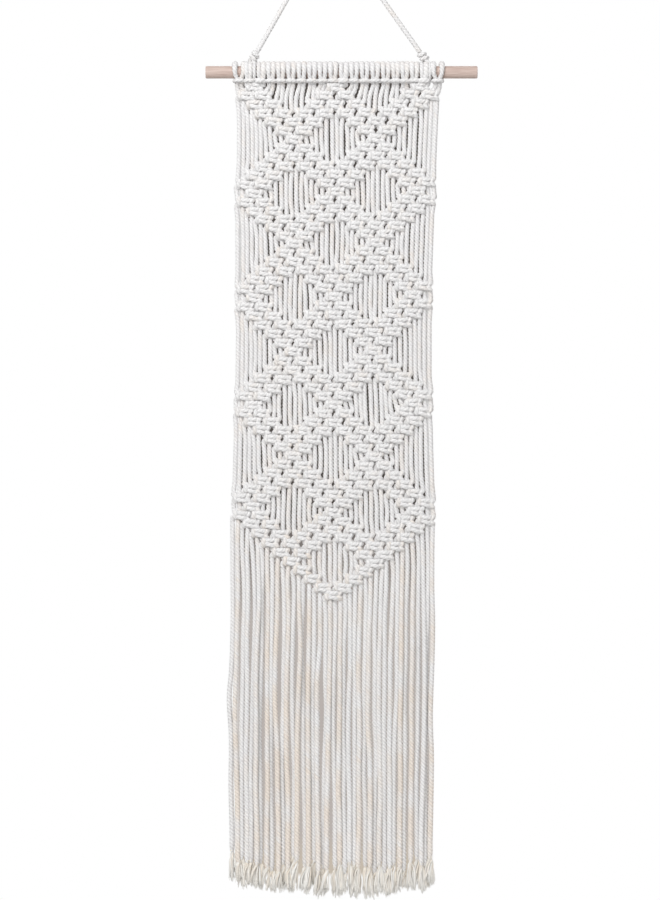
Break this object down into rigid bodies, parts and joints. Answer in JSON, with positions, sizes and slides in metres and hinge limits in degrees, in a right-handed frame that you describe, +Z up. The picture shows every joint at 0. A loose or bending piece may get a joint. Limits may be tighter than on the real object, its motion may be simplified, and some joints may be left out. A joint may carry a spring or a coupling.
{
  "type": "macrame wall hanging with its wooden rod",
  "caption": "Long knotted cotton panel with diamond pattern, pointed lower edge and straight fringe, on a wooden rod with a hanger cord.",
  "frame": {"origin": "where the hanger cord bears on its hook, at the underside of the cord's highest bend", "axes": "+Z up, +X along the rod, -Y is the front that faces the room and +Y the side that faces the wall"},
  "size_m": [0.33, 0.0238, 1.1724],
  "materials": {
    "wood": "bare sanded pale wood",
    "cotton": "matt natural white three-ply twisted cotton cord"
  },
  "bodies": {
    "root": {"wooden_rod": "wood", "heading": "cotton", "knotted_panel": "cotton", "fringe": "cotton", "hanger_cord": "cotton", "hanger_knot_left": "cotton", "hanger_knot_right": "cotton"}
  },
  "joints": []
}
